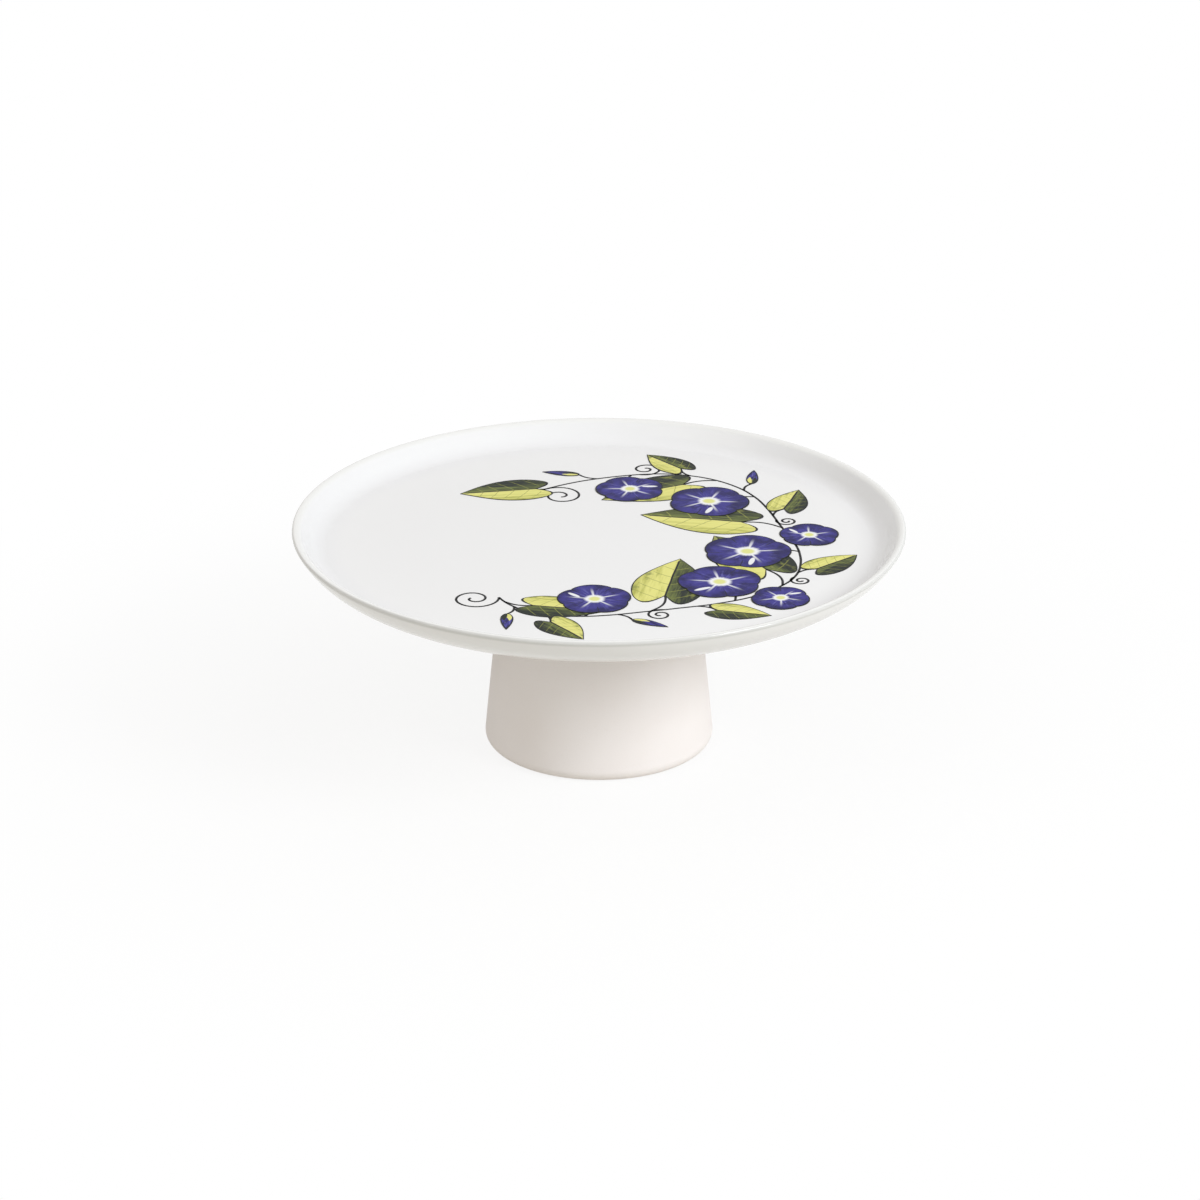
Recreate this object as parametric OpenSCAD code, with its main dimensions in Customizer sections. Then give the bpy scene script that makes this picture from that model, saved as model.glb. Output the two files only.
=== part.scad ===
// Footed serving plate: a shallow round plate with a rounded lip, bonded on a hollow tapered foot.
// Frame: +Z up, origin on the table at the centre of the foot's heel. All sizes in millimetres.

/* [Overall] */
// Height from the table to the top of the lip
overall_h = 95; // [70:0.5:130]

/* [Plate] */
// Diameter over the lip
plate_d = 250; // [200:1:320]
// Depth of the plate from the lip's top to the flat underside
plate_depth = 14.8; // [13.5:0.1:16]
// Thickness of the rounded lip, from the top of the well's wall to the outer edge
lip_t = 3.8; // [3:0.1:5]
// Radius of the lip's outer edge, tighter than the round on its inner side
lip_edge_r = 1; // [0.6:0.1:1.4]
// Radius of the outer shoulder that sweeps down from the lip
shoulder_r = 29; // [26:0.5:34]
// Lean of the shoulder from upright where it leaves the lip, in degrees
shoulder_lean = 29; // [26:0.5:32]
// Radius of the turn from the shoulder to the flat underside
turn_r = 10; // [6:0.5:12]
// Depth of the well from the lip's top to its flat floor
well_depth = 8.4; // [7:0.1:9.5]
// Lean of the well's wall from upright, in degrees
wall_lean = 38; // [30:1:44]
// Radius of the cove between the well's wall and its floor
cove_r = 9; // [6:0.5:10]

/* [Foot] */
// Diameter over the widest part of the foot, just above the table
foot_base_d = 94; // [84:1:120]
// Diameter that the foot's side reaches at the plate's underside
foot_top_d = 79; // [72:1:100]
// Radius of the rounded heel
heel_r = 4.5; // [3:0.5:6]
// Thickness of the foot's side wall
foot_wall = 8; // [7:0.5:10]
// Thickness of the deck that closes the foot's top
deck_t = 9; // [8:0.5:14]
// Radius in the corner between the side wall and the deck, inside
cavity_r = 8; // [4:0.5:12]
// Radius on the deck's outer edge, under the plate
deck_edge_r = 1; // [0.5:0.1:1.5]
// Bevel on the heel's inner edge
heel_bevel = 1; // [0.5:0.1:1.5]

/* [Joint between plate and foot] */
// Outer diameter of the locating ring under the plate
ring_d = 62; // [48:1:64]
// Width of the locating ring
ring_w = 6; // [4:0.5:8]
// Height of the locating ring
ring_h = 2.4; // [1.6:0.1:3]
// Gap all round between the locating ring and the foot's socket
socket_clearance = 0.5; // [0.3:0.1:1]
// Thickness of the bond under the locating ring
bond_t = 0.6; // [0.4:0.1:1]

/* [Hidden] */
$fn = 180;

// Depth by which a cut runs past the face that it opens
past = 1;
// Depth by which a line's or an arc's end sits inside the round that it touches, so that no sliver is left
tuck = 0.0002;

// Point at a distance from another along an angle above the horizontal
function reach(from, angle, distance) = from + distance * [cos(angle), sin(angle)];

// Levels
underside_z = overall_h - plate_depth;
floor_z = overall_h - well_depth;
socket_z = underside_z - ring_h - bond_t;
deck_under_z = underside_z - deck_t;

// Lip: a tight outer edge that touches the plate's diameter, and a wider inner round, which meet at the top
lip_edge_c = [plate_d / 2 - lip_edge_r, overall_h - lip_edge_r];
lip_r = (lip_t - lip_edge_r) / cos(wall_lean);
lip_c = [lip_edge_c[0], overall_h - lip_r];

// Shoulder: an arc that touches the lip's outer edge from outside
shoulder_c = reach(lip_edge_c, 180 - shoulder_lean, shoulder_r - lip_edge_r);

// Turn: a tighter arc that touches the shoulder from inside and the underside from above
turn_start = asin((shoulder_c[1] - underside_z - turn_r) / (shoulder_r - turn_r));
turn_c = reach(shoulder_c, -turn_start, shoulder_r - turn_r + tuck);

// Well: the wall touches the lip's inner round, and the cove touches the wall and the floor
wall_normal = 180 - wall_lean;
wall_top = reach(lip_c, wall_normal, lip_r - tuck);
wall_drop = wall_top[1] - floor_z - cove_r * (1 - sin(wall_lean));
wall_foot = reach(wall_top, wall_normal + 90, wall_drop / cos(wall_lean));
cove_c = reach(wall_foot, wall_normal, cove_r);

// Foot: the side touches the heel's round and aims at the stated diameter under the plate
heel_c = [foot_base_d / 2 - heel_r, heel_r];
foot_corner = [foot_top_d / 2, underside_z];
heel_to_corner = foot_corner - heel_c;
taper = atan2(heel_to_corner[1], heel_to_corner[0]) - acos(heel_r / norm(heel_to_corner));

// Radius at a height of the foot's side, moved in by a depth square to the side
function side_r(z, inset) = heel_c[0] + (heel_r - inset - (z - heel_c[1]) * sin(taper)) / cos(taper);

deck_edge_c = [side_r(underside_z - deck_edge_r, deck_edge_r), underside_z - deck_edge_r];
cavity_c = [side_r(deck_under_z - cavity_r, foot_wall + cavity_r), deck_under_z - cavity_r];

// Locating ring and its socket
ring_outer_r = ring_d / 2;
ring_inner_r = ring_outer_r - ring_w;
socket_r = ring_outer_r + socket_clearance;

// Solid of revolution about the upright axis
module turned() { rotate_extrude() children(); }

module round_at(centre, radius) { translate(centre) circle(r = radius); }

// Rectangle in the section from one corner to the opposite one
module section_box(low, high) { translate(low) square(high - low); }

// The plate's section before the well is cut, up to the line from the shoulder's centre to the lip
module plate_blank() {
    polygon([[0, underside_z], [turn_c[0], underside_z], turn_c, shoulder_c, [0, shoulder_c[1]]]);
    round_at(turn_c, turn_r);
    intersection() {
        round_at(shoulder_c, shoulder_r);
        polygon([
            shoulder_c,
            reach(shoulder_c, -turn_start, 2 * shoulder_r),
            reach(shoulder_c, -shoulder_lean, 2 * shoulder_r)
        ]);
    }
}

// The space inside the well
module well_space() {
    polygon([
        [0, floor_z], [cove_c[0], floor_z], cove_c, wall_foot, wall_top, lip_edge_c,
        [lip_edge_c[0], shoulder_c[1] + past], [0, shoulder_c[1] + past]
    ]);
    round_at(cove_c, cove_r);
}

// The lip's inner round, from the top of the well's wall to the top of the lip
module lip_round() {
    intersection() {
        round_at(lip_c, lip_r);
        polygon([
            wall_foot, lip_edge_c, [lip_edge_c[0], overall_h + past], [wall_foot[0], overall_h + past]
        ]);
    }
}

// Glazed plate with its rounded lip, flat well and locating ring
module plate() {
    color([0.96, 0.96, 0.95])
    turned() {
        difference() {
            plate_blank();
            well_space();
        }
        lip_round();
        round_at(lip_edge_c, lip_edge_r);
        section_box([ring_inner_r, underside_z - ring_h], [ring_outer_r, (underside_z + floor_z) / 2]);
    }
}

// The foot's section as if it were solid
module foot_blank() {
    polygon([
        [0, 0], [heel_c[0], 0], heel_c, reach(heel_c, taper, heel_r - tuck),
        reach(deck_edge_c, taper, deck_edge_r - tuck), deck_edge_c,
        [deck_edge_c[0], underside_z], [0, underside_z]
    ]);
    round_at(heel_c, heel_r);
    round_at(deck_edge_c, deck_edge_r);
}

// The hollow inside the foot, open at the table and bevelled at its mouth
module foot_space() {
    mouth_r = side_r(heel_bevel, foot_wall);
    polygon([
        [0, -past], [mouth_r + heel_bevel + past, -past], [mouth_r, heel_bevel],
        reach(cavity_c, taper, cavity_r - tuck), cavity_c,
        [cavity_c[0], deck_under_z], [0, deck_under_z]
    ]);
    round_at(cavity_c, cavity_r);
}

// Hollow tapered foot with a rounded heel and a socket in its deck
module foot() {
    color([0.90, 0.86, 0.82])
    turned() difference() {
        foot_blank();
        foot_space();
        section_box([0, socket_z], [socket_r, underside_z + past]);
    }
}

// Ring of ceramic adhesive between the socket's floor and the locating ring
module bond_ring() {
    color([0.78, 0.75, 0.70])
    turned() section_box([ring_inner_r, socket_z], [ring_outer_r, socket_z + bond_t]);
}

plate();
foot();
bond_ring();
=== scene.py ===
# %% [markdown]
# # A footed serving plate, dressed in Blender
#
# The object is a shallow white plate with a rounded lip, bonded on a matte cream foot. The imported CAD
# model is the frame: it says where everything is. This lesson turns the two ceramic pieces as fine
# meshes with Geometry Nodes, gives them a glaze and a dry matte finish, and paints a garland of blue
# flowers on the plate.

# %% Load the frame
import math

import bpy
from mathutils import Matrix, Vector


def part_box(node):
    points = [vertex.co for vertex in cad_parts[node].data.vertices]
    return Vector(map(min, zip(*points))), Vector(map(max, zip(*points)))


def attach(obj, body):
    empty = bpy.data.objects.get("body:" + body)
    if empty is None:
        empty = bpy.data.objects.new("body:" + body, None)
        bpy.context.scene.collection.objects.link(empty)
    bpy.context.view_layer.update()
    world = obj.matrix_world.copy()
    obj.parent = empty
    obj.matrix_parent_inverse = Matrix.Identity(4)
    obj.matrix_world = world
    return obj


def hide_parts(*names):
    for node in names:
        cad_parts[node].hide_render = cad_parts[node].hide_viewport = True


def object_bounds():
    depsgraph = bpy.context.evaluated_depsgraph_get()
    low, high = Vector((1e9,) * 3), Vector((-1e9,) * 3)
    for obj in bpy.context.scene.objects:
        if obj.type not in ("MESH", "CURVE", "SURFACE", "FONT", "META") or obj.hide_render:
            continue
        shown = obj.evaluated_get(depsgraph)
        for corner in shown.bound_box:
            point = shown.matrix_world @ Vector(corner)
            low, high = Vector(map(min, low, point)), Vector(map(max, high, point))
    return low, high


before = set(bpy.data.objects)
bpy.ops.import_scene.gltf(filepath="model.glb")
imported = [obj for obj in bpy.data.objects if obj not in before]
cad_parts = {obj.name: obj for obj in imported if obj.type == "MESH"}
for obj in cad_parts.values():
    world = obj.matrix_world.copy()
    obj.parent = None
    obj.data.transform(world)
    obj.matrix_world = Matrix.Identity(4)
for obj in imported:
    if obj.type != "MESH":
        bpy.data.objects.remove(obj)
cad_low, cad_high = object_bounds()
MM = 0.001
cad_sides = [round(side / MM, 1) for side in cad_high - cad_low]
print("nodes:", sorted(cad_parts), "box in mm:", cad_sides)

# %% [markdown]
# ## Sizes
#
# The outer sizes come from the frame. The radii of the lip, shoulder, cove and heel can't be read from
# a box, so they are named here with the same values as the CAD source, in metres.

# %% Sizes of the plate and the foot
plate_low, plate_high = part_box("plate")
foot_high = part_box("foot")[1]
bond_low, bond_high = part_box("bond_ring")

WOBBLE_ROOM = 0.02 * MM
rim_r = plate_high.x - WOBBLE_ROOM
top_z = plate_high.z
underside_z = foot_high.z
ring_low_z = plate_low.z
ring_outer_r = bond_high.x
socket_z = bond_low.z
foot_base_r = foot_high.x

LIP_T = 3.8 * MM
LIP_EDGE_R = 1 * MM
SHOULDER_R = 29 * MM
SHOULDER_LEAN = 29
TURN_R = 10 * MM
WELL_DEPTH = 8.4 * MM
WALL_LEAN = 38
COVE_R = 9 * MM
RING_W = 6 * MM
SOCKET_CLEARANCE = 0.5 * MM
FOOT_TOP_R = 39.5 * MM
HEEL_R = 4.5 * MM
FOOT_WALL = 8 * MM
DECK_T = 9 * MM
CAVITY_R = 8 * MM
DECK_EDGE_R = 1 * MM
HEEL_BEVEL = 1 * MM

floor_z = top_z - WELL_DEPTH
levels = {"rim radius": rim_r, "well floor": floor_z, "underside": underside_z}
print("in mm:", {label: round(level / MM, 1) for label, level in levels.items()})

# %% [markdown]
# ## Camera
#
# The photograph looks down on the plate from about 23 degrees, from far enough that the rim is nearly a
# true ellipse. A long lens two metres away gives that. The camera aims a little above the middle of the
# object, because the photograph leaves more room under the foot than over the rim.

# %% Camera
CAMERA_DISTANCE = 2.0
CAMERA_ELEVATION = math.radians(22.8)
CAMERA_TARGET = Vector((0, 0, 45 * MM))
CAMERA_AIM = Vector((0.4 * MM, 0, 61.2 * MM))
SENSOR = 36
FOCAL_PIXELS = 4862
IMAGE_PIXELS = 1200

camera_data = bpy.data.cameras.new("camera")
camera_data.sensor_width = SENSOR
camera_data.lens = SENSOR * FOCAL_PIXELS / IMAGE_PIXELS
camera = bpy.data.objects.new("camera", camera_data)
back = Vector((0, -math.cos(CAMERA_ELEVATION), math.sin(CAMERA_ELEVATION)))
camera.location = CAMERA_TARGET + CAMERA_DISTANCE * back
camera.rotation_mode = "QUATERNION"
camera.rotation_quaternion = (CAMERA_AIM - camera.location).to_track_quat("-Z", "Y")
scene = bpy.context.scene
scene.collection.objects.link(camera)
scene.camera = camera
scene.view_settings.view_transform = "Standard"
print(f"lens {camera_data.lens:.1f} mm at {CAMERA_DISTANCE} m")

# %% [markdown]
# ## Nodes written as sentences
#
# Shader trees and geometry trees are the same kind of thing: nodes with sockets and links. Two small
# classes keep the rest of the lesson short. A Wire is one socket on its way somewhere, and arithmetic
# on a Wire adds Math nodes. A Board is the tree itself. Its method node makes any node, and its other
# methods are short names for common ones.

# %% Wire and Board
class Wire:
    """One output socket. Arithmetic on it adds Math nodes to its board."""

    def __init__(self, board, socket):
        self.board = board
        self.socket = socket

    def pick(self, name):
        return Wire(self.board, self.socket.node.outputs[name])

    def __add__(self, other):
        return self.board.math("ADD", self, other)

    def __radd__(self, other):
        return self.board.math("ADD", other, self)

    def __sub__(self, other):
        return self.board.math("SUBTRACT", self, other)

    def __rsub__(self, other):
        return self.board.math("SUBTRACT", other, self)

    def __mul__(self, other):
        return self.board.math("MULTIPLY", self, other)

    def __rmul__(self, other):
        return self.board.math("MULTIPLY", other, self)

    def __pow__(self, other):
        return self.board.math("POWER", self, other)


class Board:
    """A node tree. node() adds one node, with its settings and the values or wires of its sockets."""

    def __init__(self, tree):
        self.tree = tree

    def node(self, kind, settings=None, sockets=None, output=0):
        made = self.tree.nodes.new(kind)
        for name, value in (settings or {}).items():
            setattr(made, name, value)
        for key, value in (sockets or {}).items():
            wires = value if isinstance(value, list) else [value]
            for wire in wires:
                if isinstance(wire, Wire):
                    self.tree.links.new(wire.socket, made.inputs[key])
                else:
                    made.inputs[key].default_value = wire
        return Wire(self, made.outputs[output]) if made.outputs else made

    def math(self, operation, *values):
        return self.node("ShaderNodeMath", {"operation": operation}, dict(enumerate(values)))

    def vector(self, operation, *values, output=0):
        sockets = dict(enumerate(values))
        return self.node("ShaderNodeVectorMath", {"operation": operation}, sockets, output)

    def join(self, x, y, z):
        return self.node("ShaderNodeCombineXYZ", None, {"X": x, "Y": y, "Z": z})

    def split(self, vector):
        parts = self.node("ShaderNodeSeparateXYZ", None, {0: vector})
        return parts.pick("X"), parts.pick("Y"), parts.pick("Z")

    def step(self, value, low, high):
        """Smooth 0 to 1 as value goes from low to high."""
        return self.node(
            "ShaderNodeMapRange",
            {"interpolation_type": "SMOOTHSTEP"},
            {"Value": value, "From Min": low, "From Max": high},
        )

    def blend(self, factor, first, second):
        """Colour that goes from first to second as factor goes from 0 to 1."""
        factor_socket, first_socket, second_socket, result = 0, 6, 7, 2
        sockets = {factor_socket: factor, first_socket: first, second_socket: second}
        return self.node("ShaderNodeMix", {"data_type": "RGBA"}, sockets, result)

    def noise(self, position, scale, detail=2.0, roughness=0.5):
        sockets = {"Vector": position, "Scale": scale, "Detail": detail, "Roughness": roughness}
        return self.node("ShaderNodeTexNoise", None, sockets)


def srgb(red, green, blue):
    """A colour as a screen shows it, 0 to 255, turned into the linear values that Blender works in."""
    def linear(level):
        share = level / 255
        return share / 12.92 if share <= 0.04045 else ((share + 0.055) / 1.055) ** 2.4

    return (linear(red), linear(green), linear(blue), 1.0)


# %% [markdown]
# ## Finishes of the two ceramic pieces
#
# The plate is white porcelain under a glossy glaze. A glaze is never perfectly even: it is a little
# thinner and warmer on the lip, a little deeper and cooler where it pools in the cove, and its skin has
# a slow waviness that softens reflections. A grey band on the outer face of the lip is painted shade.
# The foot is left matte: a cream body with faint clouds of tone and a fine dry grain that a bump shows.

# %% Material helpers
def new_material(name):
    material = bpy.data.materials.new(name)
    material.use_nodes = True
    material.node_tree.nodes.clear()
    return material, Board(material.node_tree)


def finish_material(board, sockets):
    """Ends a material in one Principled shader."""
    shader = board.node("ShaderNodeBsdfPrincipled", None, sockets)
    board.node("ShaderNodeOutputMaterial", None, {"Surface": shader})


def object_position(board):
    return board.node("ShaderNodeTexCoord").pick("Object")


def axis_radius(board, position):
    """Distance of a point from the upright axis, and its height."""
    flat = board.vector("MULTIPLY", position, (1, 1, 0))
    return board.vector("LENGTH", flat, output="Value"), board.split(position)[2]


# %% White glaze
GLAZE_WHITE = srgb(239, 239, 240)
GLAZE_LIP = srgb(241, 241, 239)
GLAZE_POOL = srgb(237, 237, 239)
LIP_PAINTED_SHADE = srgb(200, 200, 198)
GLAZE_IOR = 1.5
LIP_SHARE = 0.7
LIP_SHADE_SHARE = 0.65
PEEL_SHARE = 0.04


def white_glaze():
    material, board = new_material("white_glaze")
    position = object_position(board)
    radius, height = axis_radius(board, position)
    on_lip = board.step(height, top_z - 1.6 * MM, top_z - 0.2 * MM)
    near_wall = board.step(radius, rim_r - 22 * MM, rim_r - 14 * MM)
    in_cove = near_wall * board.step(height, top_z - 4 * MM, floor_z)
    clouds = board.noise(position, scale=28.0)
    tone = board.blend(in_cove * (0.5 + 0.5 * clouds), GLAZE_WHITE, GLAZE_POOL)
    tone = board.blend(on_lip * LIP_SHARE, tone, GLAZE_LIP)
    # Painted shade: a grey band on the outer face of the lip, strongest near its top, stands in for the
    # shade where the rounded edge turns away from the light.
    outside = board.step(radius, rim_r - 0.9 * LIP_EDGE_R, rim_r - 0.2 * LIP_EDGE_R)
    above_shoulder = board.step(height, top_z - 3.5 * MM, top_z - 1.2 * MM)
    tone = board.blend(outside * above_shoulder * LIP_SHADE_SHARE, tone, LIP_PAINTED_SHADE)
    slow_waves = board.noise(position, scale=42.0, detail=1.0)
    orange_peel = board.noise(position, scale=900.0, detail=1.0)
    skin = slow_waves + PEEL_SHARE * orange_peel
    bump = board.node("ShaderNodeBump", None, {"Strength": 0.06, "Distance": 1 * MM, "Height": skin})
    finish_material(board, {
        "Base Color": tone,
        "Roughness": 0.13 + 0.08 * clouds,
        "IOR": GLAZE_IOR,
        "Normal": bump,
    })
    return material


# %% Cream bisque
BISQUE_CREAM = srgb(248, 243, 243)
BISQUE_CLOUD = srgb(245, 239, 238)
BISQUE_WORN = srgb(237, 229, 225)
SPECK_SHARE = 0.35
WORN_SHARE = 0.6


def cream_bisque():
    material, board = new_material("cream_bisque")
    position = object_position(board)
    height = axis_radius(board, position)[1]
    clouds = board.noise(position, scale=22.0, detail=3.0)
    grain = board.noise(position, scale=1700.0, detail=3.0, roughness=0.7)
    worn = board.step(height, 2.2 * MM, 0.2 * MM)
    tone = board.blend(board.step(clouds, 0.35, 0.75), BISQUE_CREAM, BISQUE_CLOUD)
    tone = board.blend(board.step(grain, 0.52, 0.8) * SPECK_SHARE, tone, BISQUE_WORN)
    tone = board.blend(worn * WORN_SHARE, tone, BISQUE_WORN)
    bump = board.node("ShaderNodeBump", None, {"Strength": 0.25, "Distance": 0.15 * MM, "Height": grain})
    finish_material(board, {
        "Base Color": tone,
        "Roughness": 0.74 + 0.14 * grain,
        "IOR": 1.45,
        "Normal": bump,
    })
    return material


# %% Cured bond, which hides inside the joint
BOND_DARK = srgb(196, 189, 176)
BOND_PALE = srgb(214, 208, 196)


def ceramic_bond():
    material, board = new_material("ceramic_bond")
    lumps = board.noise(object_position(board), scale=320.0)
    tone = board.blend(lumps, BOND_DARK, BOND_PALE)
    finish_material(board, {"Base Color": tone, "Roughness": 0.5 + 0.2 * lumps})
    return material


WHITE_GLAZE = white_glaze()
CREAM_BISQUE = cream_bisque()
bond_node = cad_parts["bond_ring"]
bond_node.data.materials.clear()
bond_node.data.materials.append(ceramic_bond())
print("materials:", WHITE_GLAZE.name, CREAM_BISQUE.name, bond_node.data.materials[0].name)

# %% [markdown]
# ## Turned pieces
#
# A potter turns both pieces on a wheel, so each is one section swept round the upright axis. Blender's
# Screw modifier could do that, but a small Geometry Nodes tree does it with named inputs, closes the
# seam, and can add the slight unevenness that a fired piece has. The section is a row of points:
# straight runs and arcs, worked out from the sizes.

# %% Sections as runs and arcs
def reach(start, degrees, distance):
    """The point at a distance from another, along an angle above the horizontal."""
    angle = math.radians(degrees)
    return (start[0] + distance * math.cos(angle), start[1] + distance * math.sin(angle))


def arc(centre, radius, first, last, steps):
    """Points on an arc, from one angle to another."""
    return [reach(centre, first + (last - first) * step / steps, radius) for step in range(steps + 1)]


EDGE_SUPPORT = 0.4 * MM
LARGEST_MARGIN = 0.3


def run(first, last, steps=1):
    """Points on a straight stretch. One lies close to each end, so the shading stays flat between."""
    length = math.dist(first, last)
    margin = min(EDGE_SUPPORT / length, LARGEST_MARGIN)
    shares = [margin + (1 - 2 * margin) * step / steps for step in range(steps + 1)]
    return [tuple(a + (b - a) * share for a, b in zip(first, last)) for share in shares]


# %% The plate's section
lip_edge_c = (rim_r - LIP_EDGE_R, top_z - LIP_EDGE_R)
lip_r = (LIP_T - LIP_EDGE_R) / math.cos(math.radians(WALL_LEAN))
lip_c = (lip_edge_c[0], top_z - lip_r)
shoulder_c = reach(lip_edge_c, 180 - SHOULDER_LEAN, SHOULDER_R - LIP_EDGE_R)
turn_start = math.degrees(math.asin((shoulder_c[1] - underside_z - TURN_R) / (SHOULDER_R - TURN_R)))
turn_c = reach(shoulder_c, -turn_start, SHOULDER_R - TURN_R)
wall_top = reach(lip_c, 180 - WALL_LEAN, lip_r)
wall_drop = wall_top[1] - floor_z - COVE_R * (1 - math.sin(math.radians(WALL_LEAN)))
wall_foot = reach(wall_top, 270 - WALL_LEAN, wall_drop / math.cos(math.radians(WALL_LEAN)))
cove_c = reach(wall_foot, 180 - WALL_LEAN, COVE_R)
ring_inner_r = ring_outer_r - RING_W


def plate_section():
    floor_edge = (cove_c[0], floor_z)
    ring_root_outer = (ring_outer_r, underside_z)
    ring_root_inner = (ring_inner_r, underside_z)
    ring_tip_outer = (ring_outer_r, ring_low_z)
    ring_tip_inner = (ring_inner_r, ring_low_z)
    return [
        (0, floor_z),
        *run((0, floor_z), floor_edge, steps=12),
        *arc(cove_c, COVE_R, -90, -WALL_LEAN, steps=16),
        *run(wall_foot, wall_top),
        *arc(lip_c, lip_r, 180 - WALL_LEAN, 90, steps=10),
        *arc(lip_edge_c, LIP_EDGE_R, 90, -SHOULDER_LEAN, steps=14)[1:],
        *arc(shoulder_c, SHOULDER_R, -SHOULDER_LEAN, -turn_start, steps=16)[1:],
        *arc(turn_c, TURN_R, -turn_start, -90, steps=8)[1:],
        *run((turn_c[0], underside_z), ring_root_outer, steps=6),
        ring_root_outer,
        *run(ring_root_outer, ring_tip_outer),
        ring_tip_outer,
        *run(ring_tip_outer, ring_tip_inner),
        ring_tip_inner,
        *run(ring_tip_inner, ring_root_inner),
        ring_root_inner,
        *run(ring_root_inner, (0, underside_z), steps=3),
        (0, underside_z),
    ]


# %% The foot's section
heel_c = (foot_base_r - HEEL_R, HEEL_R)
corner_offset = (FOOT_TOP_R - heel_c[0], underside_z - heel_c[1])
corner_angle = math.atan2(corner_offset[1], corner_offset[0])
taper = math.degrees(corner_angle - math.acos(HEEL_R / math.hypot(*corner_offset)))


def side_r(height, inset):
    """Radius of the foot's side at a height, moved in by a depth square to the side."""
    slope = math.radians(taper)
    return heel_c[0] + (HEEL_R - inset - (height - heel_c[1]) * math.sin(slope)) / math.cos(slope)


def foot_section():
    deck_under_z = underside_z - DECK_T
    deck_edge_c = (side_r(underside_z - DECK_EDGE_R, DECK_EDGE_R), underside_z - DECK_EDGE_R)
    cavity_c = (side_r(deck_under_z - CAVITY_R, FOOT_WALL + CAVITY_R), deck_under_z - CAVITY_R)
    socket_r = ring_outer_r + SOCKET_CLEARANCE
    mouth = (side_r(HEEL_BEVEL, FOOT_WALL), HEEL_BEVEL)
    heel_inner = (mouth[0] + HEEL_BEVEL, 0)
    socket_corner = (socket_r, socket_z)
    socket_rim = (socket_r, underside_z)
    land_edge = (deck_edge_c[0], underside_z)
    return [
        (0, socket_z),
        *run((0, socket_z), socket_corner, steps=3),
        socket_corner,
        *run(socket_corner, socket_rim),
        socket_rim,
        *run(socket_rim, land_edge),
        *arc(deck_edge_c, DECK_EDGE_R, 90, taper, steps=8),
        *run(reach(deck_edge_c, taper, DECK_EDGE_R), reach(heel_c, taper, HEEL_R), steps=16),
        *arc(heel_c, HEEL_R, taper, -90, steps=14),
        *run((heel_c[0], 0), heel_inner),
        heel_inner,
        *run(heel_inner, mouth),
        mouth,
        *run(mouth, reach(cavity_c, taper, CAVITY_R), steps=8),
        *arc(cavity_c, CAVITY_R, taper, 90, steps=10),
        *run((cavity_c[0], deck_under_z), (0, deck_under_z), steps=3),
        (0, deck_under_z),
    ]


section_points = {"plate": len(plate_section()), "foot": len(foot_section())}
print(f"points in the sections: {section_points}, taper {taper:.2f} degrees")

# %% Helpers for geometry trees
FLOAT = "NodeSocketFloat"
INTEGER = "NodeSocketInt"
OBJECT = "NodeSocketObject"
MATERIAL = "NodeSocketMaterial"


def geometry_tree(name, inputs):
    """A new tree with named inputs and one geometry output: its board, and the input wires by name."""
    tree = bpy.data.node_groups.new(name, "GeometryNodeTree")
    for label, kind in inputs.items():
        tree.interface.new_socket(label, in_out="INPUT", socket_type=kind)
    tree.interface.new_socket("Geometry", in_out="OUTPUT", socket_type="NodeSocketGeometry")
    board = Board(tree)
    entry = board.node("NodeGroupInput")
    return board, {label: entry.pick(label) for label in inputs}


def realized(board, geometry):
    return board.node("GeometryNodeRealizeInstances", None, {"Geometry": geometry})


def end_tree(board, geometry, material):
    """Ends a tree: no instances are left, and every face has the material."""
    whole = realized(board, geometry)
    whole = board.node("GeometryNodeSetMaterial", None, {"Geometry": whole, "Material": material})
    board.node("NodeGroupOutput", None, {"Geometry": whole})
    return board.tree


def points_of(board, holder):
    """The points that a helper object holds."""
    return board.node("GeometryNodeObjectInfo", None, {"Object": holder}).pick("Geometry")


def position_of(board):
    return board.node("GeometryNodeInputPosition")


def placed(board, geometry, position):
    return board.node("GeometryNodeSetPosition", None, {"Geometry": geometry, "Position": position})


def shifted(board, geometry, offset):
    return board.node("GeometryNodeSetPosition", None, {"Geometry": geometry, "Offset": offset})


def welded(board, geometry, distance):
    return board.node("GeometryNodeMergeByDistance", None, {"Geometry": geometry, "Distance": distance})


def scaled(board, vector, amount):
    return board.node("ShaderNodeVectorMath", {"operation": "SCALE"}, {0: vector, "Scale": amount})


def level_drift(board, scale, amount):
    """A slow shift in the level plane that differs from place to place."""
    drift = board.noise(position_of(board), scale, detail=1.0).pick("Color")
    drift = board.vector("SUBTRACT", drift, (0.5, 0.5, 0.5))
    return scaled(board, board.vector("MULTIPLY", drift, (1, 1, 0)), amount)


# %% The tree that turns a section
SHARP_EDGE = math.radians(40)
SEAM_WELD = 0.002 * MM
UNEVEN_SCALE = 14.0


def shaded(board, mesh, domain, smooth, chosen=True):
    """Smooth or sharp shading on the chosen faces or edges."""
    sockets = {"Geometry": mesh, "Selection": chosen, "Shade Smooth": smooth}
    return board.node("GeometryNodeSetShadeSmooth", {"domain": domain}, sockets)


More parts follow.
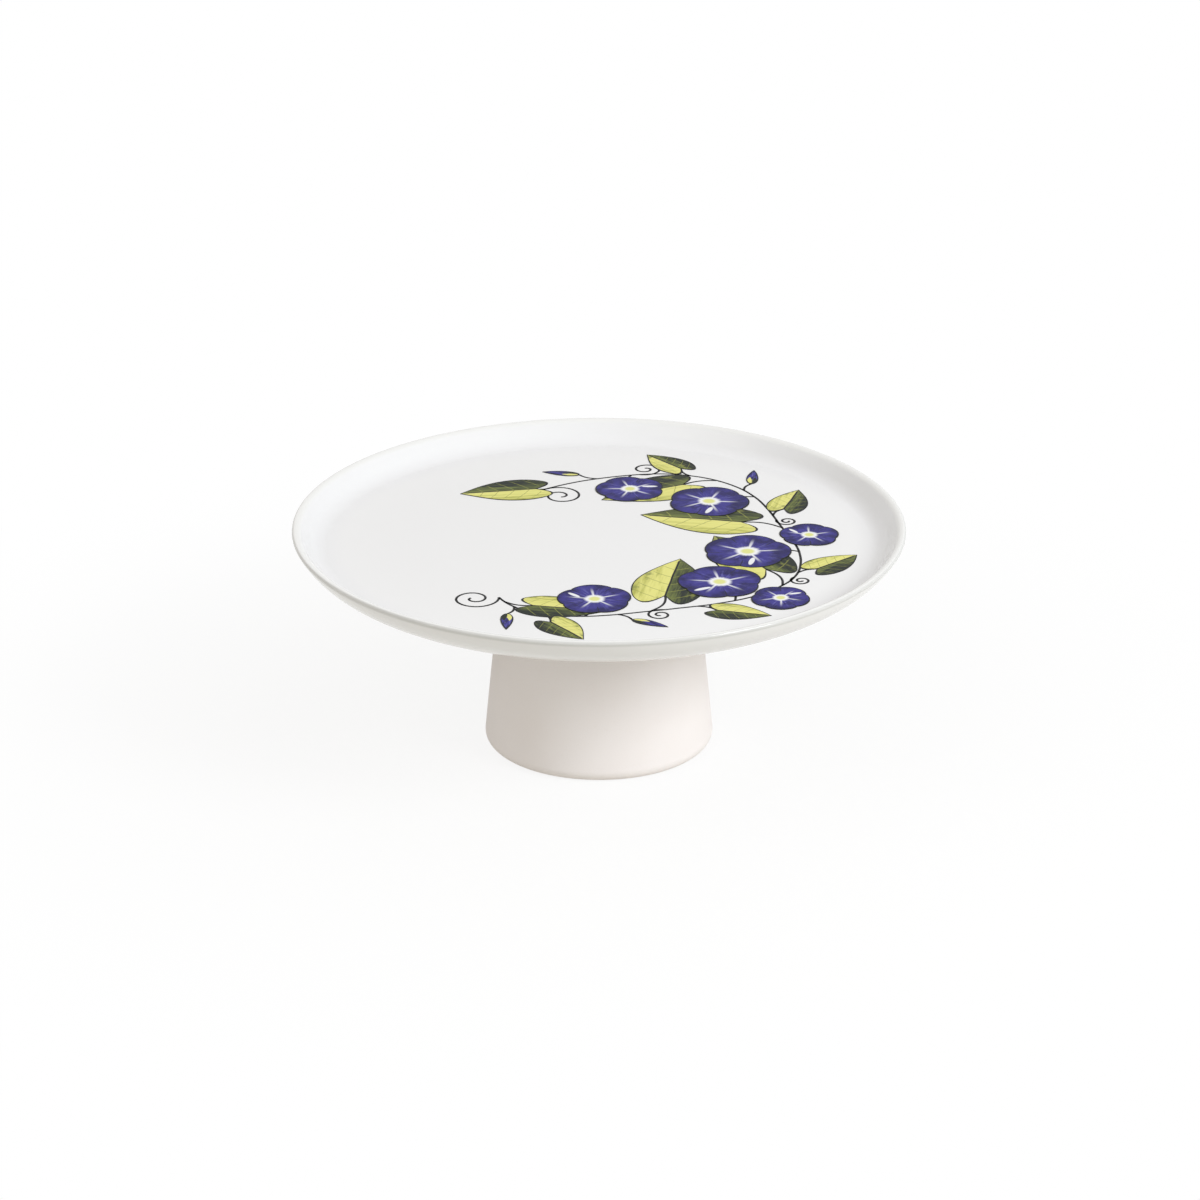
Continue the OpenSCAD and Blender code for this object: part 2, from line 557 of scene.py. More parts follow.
def turning_tree():
    board, given = geometry_tree("turn a section", {
        "Section": OBJECT,
        "Segments": INTEGER,
        "Wobble": FLOAT,
        "Material": MATERIAL,
    })
    section = points_of(board, given["Section"])
    rings = board.node("GeometryNodeAttributeDomainSize", {"component": "MESH"}, {0: section})
    grid = board.node("GeometryNodeMeshGrid", None, {
        "Size X": 1.0, "Size Y": 1.0, "Vertices X": given["Segments"] + 1, "Vertices Y": rings,
    })
    around, along, _ = board.split(position_of(board))
    angle = (around + 0.5) * -math.tau
    row = board.math("ROUND", (along + 0.5) * (rings - 1))
    sample = board.node(
        "GeometryNodeSampleIndex",
        {"data_type": "FLOAT_VECTOR", "domain": "POINT"},
        {"Geometry": section, "Value": position_of(board), "Index": row},
    )
    radius, _, height = board.split(sample)
    turned = board.join(radius * board.math("COSINE", angle), radius * board.math("SINE", angle), height)
    shell = welded(board, placed(board, grid, turned), SEAM_WELD)
    shell = shifted(board, shell, level_drift(board, UNEVEN_SCALE, given["Wobble"]))
    shell = shaded(board, shell, "FACE", True)
    bend = board.node("GeometryNodeInputMeshEdgeAngle").pick("Unsigned Angle")
    crisp = board.node("FunctionNodeCompare", {"operation": "GREATER_THAN"}, {0: bend, 1: SHARP_EDGE})
    shell = shaded(board, shell, "EDGE", False, crisp)
    return end_tree(board, shell, given["Material"])


# %% From a tree to a plain mesh
def link_object(name, data):
    made = bpy.data.objects.new(name, data)
    scene.collection.objects.link(made)
    return made


def points_object(name, points):
    """A helper object that only holds points, for a tree to read."""
    mesh = bpy.data.meshes.new(name)
    mesh.from_pydata(points, [], [])
    return link_object(name, mesh)


def discard(made):
    """Removes a helper object, so that it is no piece of the object."""
    mesh = made.data
    bpy.data.objects.remove(made)
    bpy.data.meshes.remove(mesh)


def grow(name, tree, inputs):
    """Runs a tree on a new object and keeps the result as that object's plain mesh."""
    seed = bpy.data.meshes.new(name + "_seed")
    made = link_object(name, seed)
    modifier = made.modifiers.new("shape", "NODES")
    modifier.node_group = tree
    for item in tree.interface.items_tree:
        if item.in_out == "INPUT":
            modifier[item.identifier] = inputs[item.name]
    depsgraph = bpy.context.evaluated_depsgraph_get()
    shaped = made.evaluated_get(depsgraph)
    mesh = bpy.data.meshes.new_from_object(shaped, preserve_all_data_layers=True, depsgraph=depsgraph)
    made.modifiers.remove(modifier)
    made.data = mesh
    mesh.name = name
    bpy.data.meshes.remove(seed)
    print(f"{name}: {len(mesh.vertices)} points, {len(mesh.polygons)} faces")
    return made


# %% Turn the plate and the foot
SEGMENTS = 256
TURNING = turning_tree()


def turned_piece(name, section, material, wobble, node):
    holder = points_object(name + "_section", [(radius, 0, height) for radius, height in section])
    inputs = {"Section": holder, "Segments": SEGMENTS, "Wobble": wobble, "Material": material}
    piece = grow(name, TURNING, inputs)
    discard(holder)
    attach(piece, "root")
    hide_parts(node)


turned_piece(
    "glazed_plate", plate_section(),
    material=WHITE_GLAZE, wobble=0.25 * MM, node="plate",
)
turned_piece(
    "bisque_foot", foot_section(),
    material=CREAM_BISQUE, wobble=0.3 * MM, node="foot",
)

# %% [markdown]
# ## The garland's enamels
#
# The plate carries a fired-on painting: a climbing vine with heart-shaped leaves and round blue
# flowers. Each leaf and flower is a thin skin of enamel that knows its own flat coordinates: how far a
# point lies along, how far across and how far from the edge. Those are stored on the mesh as
# attributes, so one material paints every leaf, however it is turned, and the painter's ink line
# follows its edge.

# %% Helpers for painted enamel
INK = srgb(27, 27, 29)
INK_FADE = 0.62 * MM
INK_FULL = 0.42 * MM
INK_SHAKE = 0.3 * MM
ENAMEL_SHEEN = 0.04
TONE_SPREAD = 9.0
PETALS = 5


def painted(board):
    """A point's flat coordinates, its distance from the edge, and its piece's size and tone."""
    def attribute(name):
        return board.node("ShaderNodeAttribute", {"attribute_name": name})

    x, y, edge = board.split(attribute("flat").pick("Vector"))
    return x, y, edge, attribute("size").pick("Fac"), attribute("tone").pick("Fac")


def brush(board, x, y, tone, along, across):
    """Streaks of a loaded brush: noise that is drawn out along x and differs from piece to piece."""
    spot = board.join(x * along, y * across, tone * TONE_SPREAD)
    return board.noise(spot, scale=1.0, detail=3.0, roughness=0.6)


def ink_outline(board, edge, size, streaks):
    """The dark line along a piece's edge, as uneven as the brush."""
    return board.step(edge * size + INK_SHAKE * (streaks - 0.5), INK_FADE, INK_FULL)


def petal_fold(board, angle):
    """1 on the middle line of a petal and 0 on the crease between two."""
    return board.math("ABSOLUTE", board.math("COSINE", angle * (PETALS / 2)))


def fired_enamel(board, tone):
    """Ends an enamel material: smooth, but with far less sheen than the glaze that it is fired on."""
    finish_material(board, {
        "Base Color": tone,
        "Roughness": 0.25,
        "IOR": GLAZE_IOR,
        "Specular IOR Level": ENAMEL_SHEEN,
    })


# %% Leaf enamel
LEAF_PALE = srgb(231, 228, 136)
LEAF_WASH = srgb(176, 178, 84)
LEAF_MOSS = srgb(112, 122, 62)
LEAF_DARK = srgb(34, 41, 35)
VEINS = 5.0
VEIN_SHARE = 0.5


def leaf_enamel():
    material, board = new_material("leaf_enamel")
    x, y, edge, size, tone = painted(board)
    reach_out = board.math("ABSOLUTE", y)
    streaks = brush(board, x - 0.5 * reach_out, y, tone, 2.5, 20.0)
    pooled = brush(board, x, y, tone + 3.0, 3.5, 5.0)
    pale = board.blend(board.step(streaks + 0.9 * reach_out, 0.55, 1.0), LEAF_PALE, LEAF_WASH)
    pale = board.blend(board.step(pooled - 0.5 * edge, 0.52, 0.66) * 0.75, pale, LEAF_MOSS)
    dark = board.blend(board.step(streaks + 1.2 * reach_out, 0.42, 0.85), LEAF_MOSS, LEAF_DARK)
    dark = board.blend(board.step(pooled, 0.6, 0.72) * 0.5, dark, LEAF_WASH)
    halves = board.step(y, -0.006, 0.006)
    colour = board.blend(halves, dark, pale)
    vein_run = x - 0.5 * reach_out - 0.6 * reach_out * reach_out + 0.03 * streaks
    vein_side = board.math("ABSOLUTE", board.math("FRACT", vein_run * VEINS) - 0.5)
    vein = board.step(vein_side, 0.055, 0.015) * board.step(edge, 0.015, 0.08)
    colour = board.blend(vein * VEIN_SHARE, colour, board.blend(halves, LEAF_WASH, LEAF_MOSS))
    midrib = board.step(reach_out * size, 0.5 * MM, 0.3 * MM) * board.step(x, 0.97, 0.9)
    outline = ink_outline(board, edge, size, streaks)
    colour = board.blend(board.math("MAXIMUM", midrib, outline), colour, INK)
    fired_enamel(board, colour)
    return material


# %% Petal enamel
PETAL_BLUE = srgb(60, 55, 140)
PETAL_DEEP = srgb(33, 29, 88)
PETAL_LIGHT = srgb(118, 116, 196)
PETAL_GLINT = srgb(246, 247, 250)
THROAT = srgb(228, 229, 150)
GLINT_X = 0.34
GLINT_Y = 0.5
LIGHT_SHARE = 0.7
RAY_SHARE = 0.85
GLINT_SHARE = 0.95


def petal_enamel():
    material, board = new_material("petal_enamel")
    x, y, edge, size, tone = painted(board)
    out = board.math("SQRT", x * x + y * y)
    angle = board.math("ARCTAN2", y, x)
    fold = petal_fold(board, angle)
    streaks = brush(board, out, angle, tone, 2.0, 6.0)
    pooled = brush(board, x, y, tone + 5.0, 2.6, 2.6)
    colour = board.blend(board.step(pooled + 0.25 * out, 0.5, 0.85), PETAL_BLUE, PETAL_DEEP)
    light = board.step(streaks, 0.5, 0.75) * board.step(out, 0.95, 0.4)
    colour = board.blend(light * LIGHT_SHARE, colour, PETAL_LIGHT)
    ray_width = 0.93 + 0.075 * out
    ray = board.step(fold, ray_width, ray_width + 0.05) * board.step(out + 0.2 * streaks, 0.98, 0.6)
    colour = board.blend(ray * RAY_SHARE, colour, PETAL_GLINT)
    throat = board.step(out + 0.12 * (streaks - 0.5), 0.32, 0.2)
    colour = board.blend(throat, colour, PETAL_GLINT)
    colour = board.blend(board.step(out, 0.2, 0.1), colour, THROAT)
    glint_long = (x - GLINT_X) * 0.8 + (y - GLINT_Y) * 0.6
    glint_wide = (y - GLINT_Y) * 0.8 - (x - GLINT_X) * 0.6
    glint_reach = board.math("SQRT", glint_long * glint_long * 9.0 + glint_wide * glint_wide * 110.0)
    colour = board.blend(board.step(glint_reach, 0.75, 0.55) * GLINT_SHARE, colour, PETAL_GLINT)
    crease = board.step(fold * out * size, 0.5 * MM, 0.25 * MM) * board.step(out, 0.5, 0.62)
    outline = ink_outline(board, edge, size, streaks)
    colour = board.blend(board.math("MAXIMUM", crease, outline), colour, INK)
    fired_enamel(board, colour)
    return material


# %% Bud enamel
def bud_enamel():
    material, board = new_material("bud_enamel")
    x, y, edge, size, tone = painted(board)
    twist = board.math("ABSOLUTE", board.math("SINE", x * 7.0 + y * 16.0 + tone * 4.0))
    streaks = brush(board, x, y, tone, 3.0, 22.0)
    colour = board.blend(board.step(twist, 0.35, 0.95), PETAL_DEEP, PETAL_BLUE)
    colour = board.blend(board.step(streaks, 0.52, 0.7) * 0.6, colour, PETAL_LIGHT)
    cup = board.step(x + 0.09 * board.math("COSINE", y * 45.0), 0.38, 0.34)
    green = board.blend(board.step(y + 0.1 * (streaks - 0.5), -0.02, 0.02), LEAF_DARK, LEAF_PALE)
    colour = board.blend(cup, colour, green)
    outline = board.step(edge * size, 0.6 * MM, 0.4 * MM)
    colour = board.blend(outline, colour, INK)
    fired_enamel(board, colour)
    return material


# %% Line enamel
def line_enamel():
    material, board = new_material("line_enamel")
    thin = board.noise(object_position(board), scale=260.0)
    colour = board.blend(board.step(thin, 0.6, 0.8) * 0.35, INK, LEAF_DARK)
    fired_enamel(board, colour)
    return material


LEAF_ENAMEL = leaf_enamel()
PETAL_ENAMEL = petal_enamel()
BUD_ENAMEL = bud_enamel()
LINE_ENAMEL = line_enamel()
print("enamels:", LEAF_ENAMEL.name, PETAL_ENAMEL.name, BUD_ENAMEL.name, LINE_ENAMEL.name)

# %% [markdown]
# ## Stamps for the garland
#
# A leaf, a flower and a bud are each drawn once, one unit long, as a thin slab of enamel: a grid is
# bent into the outline by a rule, sunk a little so that the enamel bites into the glaze, and pulled up
# to its skin. They could be cut from curves instead, but a bent grid keeps the flat coordinates that
# the enamels read.

# %% Outlines of a leaf, a flower and a bud
LEAF_WIDTH = 0.85
LEAF_LOBE = 0.2
PETAL_NOTCH = 0.1
BUD_WIDTH = 0.42


def heart_leaf(board, along, across):
    """Heart: two rounded lobes behind the stalk, widest near the base, drawn out to a point."""
    side = board.math("ABSOLUTE", across)
    half = LEAF_WIDTH * (along + 0.09) ** 0.5 * (1.0 - along) ** 1.05
    lobe = board.math("SINE", side * (0.72 * math.pi))
    x = along - LEAF_LOBE * lobe * (1.0 - along) ** 3.0
    edge = board.math("MINIMUM", (1.0 - side) * half, along * 0.9)
    return x, across * half, edge


def bindweed_flower(board, along, across):
    """Round flower seen from the front, with a shallow notch between petals."""
    angle = (across + 1.0) * math.pi
    rim = (1 - PETAL_NOTCH) + PETAL_NOTCH * petal_fold(board, angle) ** 0.7
    radius = rim * along
    return radius * board.math("COSINE", angle), radius * board.math("SINE", angle), rim * (1.0 - along)


def furled_bud(board, along, across):
    """Spindle that swells near its cup and ends in a point."""
    side = board.math("ABSOLUTE", across)
    half = BUD_WIDTH * (along + 0.015) ** 0.55 * (1.0 - along) ** 0.95
    return along, across * half, board.math("MINIMUM", (1.0 - side) * half, along * 0.8)


# %% A grid bent into an outline and pulled up to a thin slab
STAMP_WELD = 0.000001


def stored(board, geometry, name, kind, value):
    """Writes a value on every point, for a later step or a material to read."""
    sockets = {"Geometry": geometry, "Name": name, "Value": value}
    settings = {"data_type": kind, "domain": "POINT"}
    return board.node("GeometryNodeStoreNamedAttribute", settings, sockets)


def named(board, name, kind="FLOAT"):
    return board.node("GeometryNodeInputNamedAttribute", {"data_type": kind}, {"Name": name})


def stamp(board, given, outline):
    """One slab. Outline turns the grid's along and across into x, y and the distance from the edge."""
    grid = board.node("GeometryNodeMeshGrid", None, {
        "Size X": 1.0, "Size Y": 2.0, "Vertices X": given["Rows"], "Vertices Y": given["Columns"],
    })
    grid_x, grid_y, _ = board.split(position_of(board))
    flat = board.join(*outline(board, grid_x + 0.5, grid_y))
    grid = stored(board, grid, "flat", "FLOAT_VECTOR", flat)
    x, y, _ = board.split(named(board, "flat", "FLOAT_VECTOR"))
    sole = placed(board, grid, board.join(x, y, 0.0 - given["Bite"]))
    sole = welded(board, sole, STAMP_WELD)
    rise = board.join(0.0, 0.0, given["Skin"] + given["Bite"])
    skin = board.node(
        "GeometryNodeExtrudeMesh",
        {"mode": "FACES"},
        {"Mesh": sole, "Offset": rise, "Individual": False},
    )
    sole = board.node("GeometryNodeFlipFaces", None, {"Mesh": sole})
    slab = board.node("GeometryNodeJoinGeometry", None, {"Geometry": [skin, sole]})
    return welded(board, slab, STAMP_WELD)


# %% [markdown]
# ## The vine, and what grows on it
#
# The vine is a curve on the floor of the well: most of a circle round the right-hand side, with slow
# waves, and with both ends turned inwards. Each leaf or flower is one line in a list: how far along the
# vine its stalk starts, the angle at which the stalk leaves, the stalk's length, the turn at its end
# and its size. A tendril has no stalk, so only the first two and the size count for it. Placing each by
# its x and y would need every number changed when the vine moves. Here the tree samples the vine, so
# the garland follows it. At the end one slow, shaky shift moves lines and shapes together, as a hand
# would.

# %% The vine's curve
VINE_SIZES = {
    "Vine radius": 82 * MM,
    "Vine wave": 5 * MM,
    "Vine curl": 15 * MM,
    "Vine start": math.radians(-124),
    "Vine sweep": math.radians(236),
    "Hand shift": 1.1 * MM,
    "Floor height": floor_z,
}
WAVES = 2.75
WAVE_PHASE = 0.9
CURL_POWER = 5.0
VINE_POINTS = 260
HAND_SCALE = 45.0


def unit_line(board, count):
    """A straight curve along x, one unit long, and the share of the way along it."""
    line = board.node("GeometryNodeCurvePrimitiveLine", None, {"Start": (0, 0, 0), "End": (1, 0, 0)})
    line = board.node("GeometryNodeResampleCurve", {"mode": "COUNT"}, {"Curve": line, "Count": count})
    return line, board.node("GeometryNodeSplineParameter").pick("Factor")


def vine_curve(board, given):
    line, share = unit_line(board, VINE_POINTS)
    angle = given["Vine start"] + given["Vine sweep"] * share
    wave = given["Vine wave"] * board.math("SINE", share * (math.tau * WAVES) + WAVE_PHASE)
    curl = given["Vine curl"] * board.math("ABSOLUTE", share * 2.0 - 1.0) ** CURL_POWER
    radius = given["Vine radius"] + wave - curl
    spot = board.join(radius * board.math("COSINE", angle), radius * board.math("SINE", angle), 0.0)
    return placed(board, line, spot)


# %% Stalks, and the hand that shakes a little
def stalk_of(board, vine):
    """Where each placement's stalk leaves the vine, its angle in the plan, and where it ends."""
    sockets = {"Curves": vine, "Factor": named(board, "along")}
    sample = board.node("GeometryNodeSampleCurve", {"mode": "FACTOR"}, sockets)
    root = sample.pick("Position")
    run_x, run_y, _ = board.split(sample.pick("Tangent"))
    heading = board.math("ARCTAN2", run_y, run_x) + named(board, "lean")
    away = board.join(board.math("COSINE", heading), board.math("SINE", heading), 0.0)
    return root, heading, board.vector("ADD", root, scaled(board, away, named(board, "stalk")))


def shaky_hand(board, given, geometry):
    """Lifts the drawing to the well's floor, with a slow drift that lines and shapes share."""
    drift = level_drift(board, HAND_SCALE, given["Hand shift"])
    lift = board.join(0.0, 0.0, given["Floor height"])
    return shifted(board, geometry, board.vector("ADD", drift, lift))


# %% Placements
def placements(name, rows):
    """A helper object with one point for each row. Angles are in degrees, lengths in millimetres."""
    holder = points_object(name, [(0, 0, 0)] * len(rows))
    scales = {"along": 1, "lean": math.pi / 180, "stalk": MM, "turn": math.pi / 180, "size": MM}
    for column, (label, scale) in enumerate(scales.items()):
        layer = holder.data.attributes.new(label, "FLOAT", "POINT")
        for index, row in enumerate(rows):
            layer.data[index].value = row[column] * scale
    return holder


LEAVES = [
    (0.015, 40, 12, 8, 30),
    (0.075, -46, 9, 14, 22),
    (0.205, 55, 17, 10, 40),
    (0.262, -46, 9, 14, 22),
    (0.385, 55, 18, 10, 42),
    (0.430, -46, 9, 14, 23),
    (0.580, 55, 18, 10, 42),
    (0.622, -46, 9, 14, 23),
    (0.762, 55, 16, 8, 38),
    (0.800, -46, 9, 14, 22),
    (0.985, -20, 7, -4, 32),
]
FLOWERS = [
    (0.125, 74, 18, 20, 15),
    (0.310, 80, 20, 65, 17),
    (0.345, -62, 9, 5, 12),
    (0.500, 84, 21, 40, 18),
    (0.535, -62, 9.5, 50, 12.5),
    (0.690, 82, 20, 15, 17),
    (0.875, 76, 17, 55, 14.5),
]
BUDS = [
    (0.035, -62, 8, 18, 16),
    (0.165, -58, 8, 18, 16),
    (0.715, -58, 8, 18, 16),
    (0.920, -54, 9, 20, 16),
]
TENDRILS = [
    (0.000, 165, 1, 0, 20),
    (0.222, -34, 1, 0, 11),
    (0.416, -34, 1, 0, 9),
    (0.607, -30, 1, 0, 9),
    (0.865, -32, 1, 0, 14),
    (1.000, 12, 1, 0, 20),
]
SPOT_LISTS = {"Leaf spots": LEAVES, "Flower spots": FLOWERS, "Bud spots": BUDS, "Tendril spots": TENDRILS}
print("garland:", {label: len(rows) for label, rows in SPOT_LISTS.items()})

# %% The tree that sets a stamp along the vine
VINE_INPUTS = {label: FLOAT for label in VINE_SIZES}


def spots_of(board, holder):
    """The placements as points."""
    return board.node("GeometryNodeMeshToPoints", None, {"Mesh": points_of(board, holder)})


def garland_tree(name, outline):
    board, given = geometry_tree(name, {
        "Placements": OBJECT, "Rows": INTEGER, "Columns": INTEGER, "Skin": FLOAT, "Bite": FLOAT,
        "Lift": FLOAT, "Step": FLOAT, "Seed": INTEGER, **VINE_INPUTS, "Material": MATERIAL,
    })
    spots = spots_of(board, given["Placements"])
    draw = {"Seed": given["Seed"]}
    tone = board.node("FunctionNodeRandomValue", {"data_type": "FLOAT"}, draw, output=1)
    spots = stored(board, spots, "tone", "FLOAT", tone)
    _, heading, tip = stalk_of(board, vine_curve(board, given))
    layer = given["Lift"] + given["Step"] * board.node("GeometryNodeInputIndex")
    spots = placed(board, spots, board.vector("ADD", tip, board.join(0.0, 0.0, layer)))
    size = named(board, "size")
    stamped = board.node("GeometryNodeInstanceOnPoints", None, {
        "Points": spots,
        "Instance": stamp(board, given, outline),
        "Rotation": board.join(0.0, 0.0, heading + named(board, "turn")),
        "Scale": board.join(size, size, 1.0),
    })
    stamped = realized(board, stamped)
    return end_tree(board, shaky_hand(board, given, stamped), given["Material"])


# %% Paint the leaves, the flowers and the buds
SKIN = {"Skin": 0.08 * MM, "Bite": 0.20 * MM, "Step": 0.01 * MM, "Seed": 7}


def painted_piece(name, rows, outline, grid, lift, material):
    """Stamps one outline along the vine and keeps the result as a piece of the object."""
    spots = placements(name + "_spots", rows)
    sizes = {**VINE_SIZES, **SKIN, "Rows": grid[0], "Columns": grid[1], "Lift": lift}
    piece = grow(name, garland_tree(name, outline), {**sizes, "Placements": spots, "Material": material})
    discard(spots)
    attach(piece, "root")


painted_piece(
    "painted_leaves", LEAVES, heart_leaf,
    grid=(26, 17), lift=0.0, material=LEAF_ENAMEL,
)
painted_piece(
    "painted_buds", BUDS, furled_bud,
    grid=(20, 9), lift=0.12 * MM, material=BUD_ENAMEL,
)
painted_piece(
    "painted_flowers", FLOWERS, bindweed_flower,
    grid=(10, 81), lift=0.15 * MM, material=PETAL_ENAMEL,
)

# %% [markdown]
# ## The drawn lines
#
# The vine, the stalks and the curled tendrils are strokes of a loaded liner brush: they start thick and
# run thin. Each is a curve with a radius, swept by a flat nib into a low ribbon. A drawn texture would
# blur when seen close, and a ribbon stays sharp and keeps its place under the leaves.

# %% Curves for the lines
LINE_SIZES = {
    "Vine width": 1.3,
    "Stalk width": 0.95,
    "Tendril width": 0.6,
    "Stalk bow": 0.13,
    "Nib width": 1 * MM,
    "Nib height": 0.1 * MM,
}
THIN_ENDS = {"Vine width": 0.45, "Stalk width": 0.8, "Tendril width": 0.5}
STALK_POINTS = 14


def thickness(board, curve, given, label):
    """Gives a curve its named width, in nibs, thinning towards its end."""
    share = board.node("GeometryNodeSplineParameter").pick("Factor")
    radius = given[label] * (1.0 - (1.0 - THIN_ENDS[label]) * share)
    return board.node("GeometryNodeSetCurveRadius", None, {"Curve": curve, "Radius": radius})


def stalk_unit(board, given):
    """A stalk one unit long that bows to one side."""
    line, share = unit_line(board, STALK_POINTS)
    bow = board.math("SINE", share * math.pi) * given["Stalk bow"] * -1.0
    return placed(board, line, board.join(share, bow, 0.0))


def tendril_unit(board):
    """A flat spiral that starts at the origin, heading along x."""
    coil = board.node("GeometryNodeCurveSpiral", None, {
        "Resolution": 30, "Rotations": 1.6, "Start Radius": 0.5, "End Radius": 0.07, "Height": 0.0,
    })
    return board.node("GeometryNodeTransform", None, {
        "Geometry": coil, "Translation": (0, 0.5, 0), "Rotation": (0, 0, -math.pi / 2),
    })


# %% The tree that draws the lines
def lines_tree():
    board, given = geometry_tree("lines of the garland", {
        **{label: OBJECT for label in SPOT_LISTS},
        **VINE_INPUTS,
        **{label: FLOAT for label in LINE_SIZES},
        "Material": MATERIAL,
    })
    vine = vine_curve(board, given)
    curves = [thickness(board, vine, given, "Vine width")]
    for label in SPOT_LISTS:
        root, heading, _ = stalk_of(board, vine)
        spots = placed(board, spots_of(board, given[label]), root)
        coiled = label == "Tendril spots"
        length = named(board, "size" if coiled else "stalk")
        side = board.math("SIGN", named(board, "lean"))
        grown = board.node("GeometryNodeInstanceOnPoints", None, {
            "Points": spots,
            "Instance": tendril_unit(board) if coiled else stalk_unit(board, given),
            "Rotation": board.join(0.0, 0.0, heading),
            "Scale": board.join(length, length * side, 1.0),
        })
        width = "Tendril width" if coiled else "Stalk width"
        curves.append(thickness(board, realized(board, grown), given, width))
    drawn = board.node("GeometryNodeJoinGeometry", None, {"Geometry": curves})
    drawn = shaky_hand(board, given, drawn)
    drawn = board.node("GeometryNodeSetCurveNormal", {"mode": "Z_UP"}, {"Curve": drawn})
    nib_sockets = {"Width": given["Nib width"], "Height": given["Nib height"]}
    nib = board.node("GeometryNodeCurvePrimitiveQuadrilateral", None, nib_sockets)
    sweep = {"Curve": drawn, "Profile Curve": nib, "Fill Caps": True}
    ribbon = board.node("GeometryNodeCurveToMesh", None, sweep)
    return end_tree(board, ribbon, given["Material"])


# %% Draw the lines
spot_holders = {label: placements(label, rows) for label, rows in SPOT_LISTS.items()}
line_inputs = {**spot_holders, **VINE_SIZES, **LINE_SIZES, "Material": LINE_ENAMEL}
lines = grow("painted_lines", lines_tree(), line_inputs)
for holder in spot_holders.values():
    discard(holder)
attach(lines, "root")

# %% [markdown]
# ## Floor, backdrop and light
#
# The photograph has a white background and soft light that comes mostly from the right. The floor is a
# pale sheet that takes the object's shadow near the foot and fades to plain white further out. It also
# lights the object from below, with the slight warmth that the photograph has under the plate. The
# world is white where the camera or a reflection sees it. As a lamp it is dimmer, and dimmest at the
# horizon, so that the shapes keep their shade. Three soft lamps do the rest: one of daylight from high
# on the right, and two weak and warm ones on the left.

# %% Floor
FLOOR_SIDE = 8.0
FLOOR_WHITE = srgb(249, 249, 249)
FLOOR_SHADE = srgb(202, 199, 190)
FLOOR_GLOW = 0.18
GLOW_TINT = srgb(255, 254, 246)
NEAR_WHITE = 0.84
FADE_START = 0.10
FADE_END = 0.36
PURE_WHITE = (1, 1, 1, 1)


def directly_seen(board):
    """1 for what the camera, a mirror or a glass shows, and 0 for rays that only carry light."""
    rays = board.node("ShaderNodeLightPath")
    seen = board.math("MAXIMUM", rays.pick("Is Camera Ray"), rays.pick("Is Glossy Ray"))
    return board.math("MAXIMUM", seen, rays.pick("Is Transmission Ray"))


def floor_sheet():
    half = FLOOR_SIDE / 2
    mesh = bpy.data.meshes.new("floor")
    corners = [(-half, -half, 0), (half, -half, 0), (half, half, 0), (-half, half, 0)]
    mesh.from_pydata(corners, [], [(0, 1, 2, 3)])
    sheet = link_object("floor", mesh)
    material, board = new_material("floor_paper")
    radius = axis_radius(board, object_position(board))[0]
    paper = board.node("ShaderNodeBsdfDiffuse", None, {"Color": FLOOR_WHITE})
    white = board.node("ShaderNodeEmission", None, {"Color": PURE_WHITE, "Strength": 1.0})
    far = NEAR_WHITE + (1 - NEAR_WHITE) * board.step(radius, FADE_START, FADE_END)
    backdrop = board.node("ShaderNodeMixShader", None, {0: far, 1: paper, 2: white})
    shade = board.node("ShaderNodeBsdfDiffuse", None, {"Color": FLOOR_SHADE})
    glow = board.node("ShaderNodeEmission", None, {"Color": GLOW_TINT, "Strength": FLOOR_GLOW})
    table = board.node("ShaderNodeAddShader", None, {0: shade, 1: glow})
    surface = board.node("ShaderNodeMixShader", None, {0: directly_seen(board), 1: table, 2: backdrop})
    board.node("ShaderNodeOutputMaterial", None, {"Surface": surface})
    mesh.materials.append(material)


floor_sheet()
print(f"floor {FLOOR_SIDE} m square, white beyond {FADE_END} m")

# %% World
SKY_ABOVE = 0.71
SKY_HORIZON = 0.20
SKY_TINT = srgb(255, 253, 250)
SKY_RISE_START = 0.05
SKY_RISE_END = 0.7


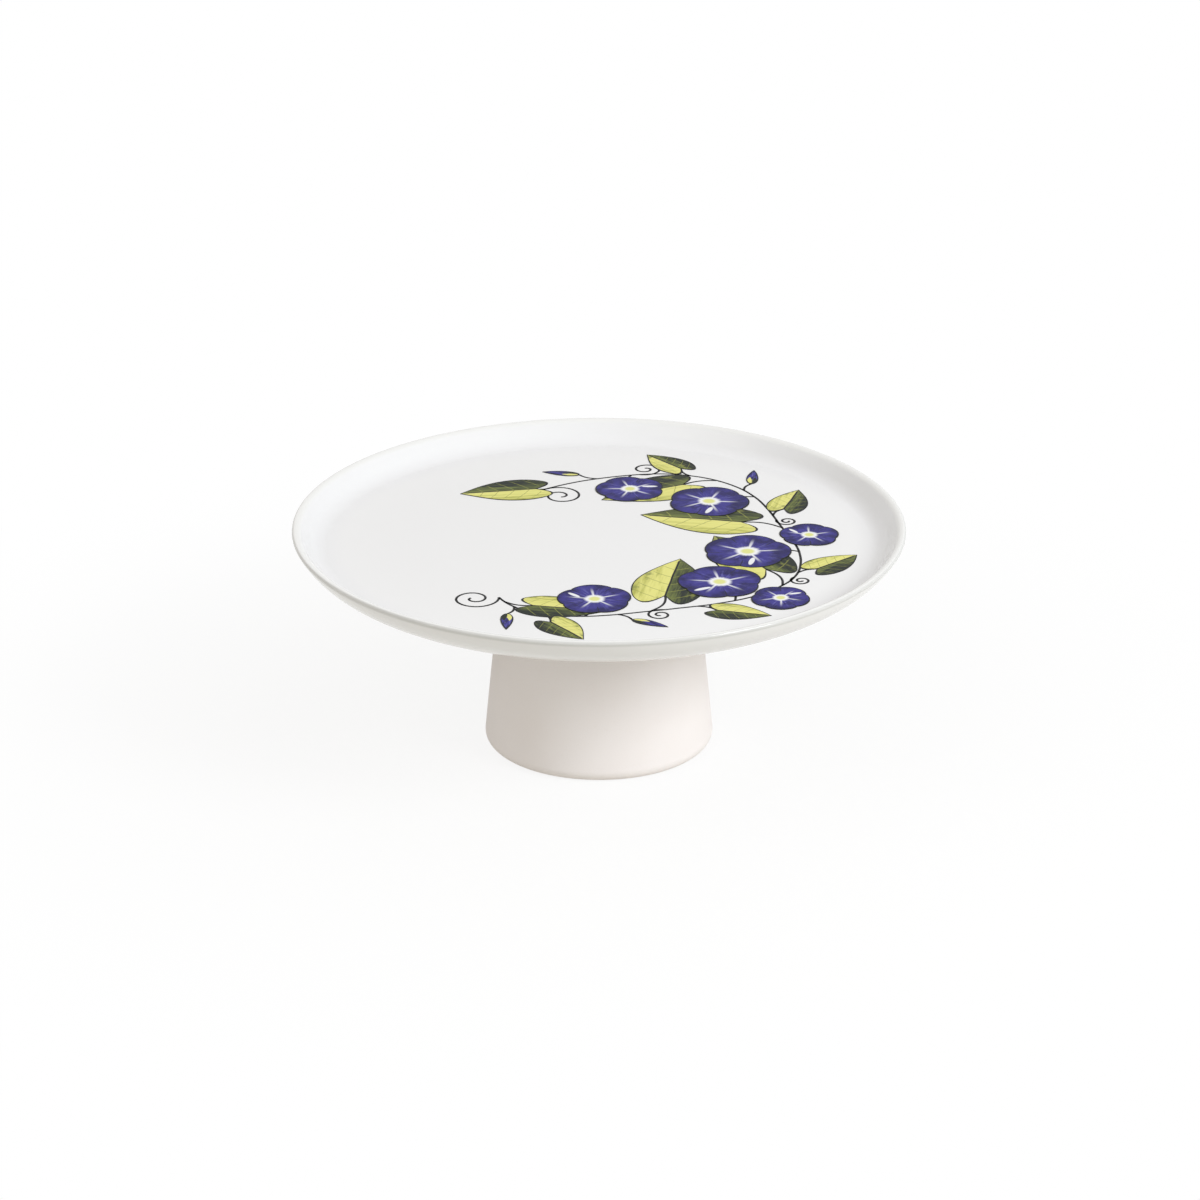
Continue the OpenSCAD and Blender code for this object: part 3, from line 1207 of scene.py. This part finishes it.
def studio_world():
    world = bpy.data.worlds.new("studio")
    world.use_nodes = True
    world.node_tree.nodes.clear()
    board = Board(world.node_tree)
    seen = directly_seen(board)
    rise = board.split(board.node("ShaderNodeTexCoord").pick("Generated"))[2]
    overhead = board.step(rise, SKY_RISE_START, SKY_RISE_END)
    sky = SKY_HORIZON + (SKY_ABOVE - SKY_HORIZON) * overhead
    strength = sky + (1 - sky) * seen
    colour = board.blend(seen, SKY_TINT, PURE_WHITE)
    light = board.node("ShaderNodeBackground", None, {"Color": colour, "Strength": strength})
    board.node("ShaderNodeOutputWorld", None, {"Surface": light})
    return world


scene.world = studio_world()

# %% Lamps
LAMP_DISTANCE = 1.8
KEY_SIDE = 0.7
ROOM_SIDE = 1.2
DAYLIGHT = srgb(248, 252, 255)
ROOM_LIGHT = srgb(255, 249, 238)


def soft_lamp(name, azimuth, elevation, irradiance, side, tint):
    """A square lamp that looks at the plate. Irradiance is the share of plain light it adds there."""
    turn, rise = math.radians(azimuth), math.radians(elevation)
    direction = Vector((math.cos(turn) * math.cos(rise), math.sin(turn) * math.cos(rise), math.sin(rise)))
    data = bpy.data.lights.new(name, "AREA")
    data.size = side
    data.energy = irradiance * (math.pi * LAMP_DISTANCE) ** 2
    data.color = tint[:3]
    lamp = link_object(name, data)
    aim = Vector((0, 0, (top_z + underside_z) / 2))
    lamp.location = aim + LAMP_DISTANCE * direction
    lamp.rotation_mode = "QUATERNION"
    lamp.rotation_quaternion = (-direction).to_track_quat("-Z", "Y")
    return lamp


key_lamp = soft_lamp(
    "key_lamp", azimuth=-35, elevation=30, irradiance=0.595, side=KEY_SIDE, tint=DAYLIGHT,
)
fill_lamp = soft_lamp(
    "fill_lamp", azimuth=-140, elevation=40, irradiance=0.11, side=ROOM_SIDE, tint=ROOM_LIGHT,
)
low_lamp = soft_lamp(
    "low_lamp", azimuth=180, elevation=14, irradiance=0.04, side=ROOM_SIDE, tint=ROOM_LIGHT,
)
print("lamps:", key_lamp.name, fill_lamp.name, low_lamp.name)
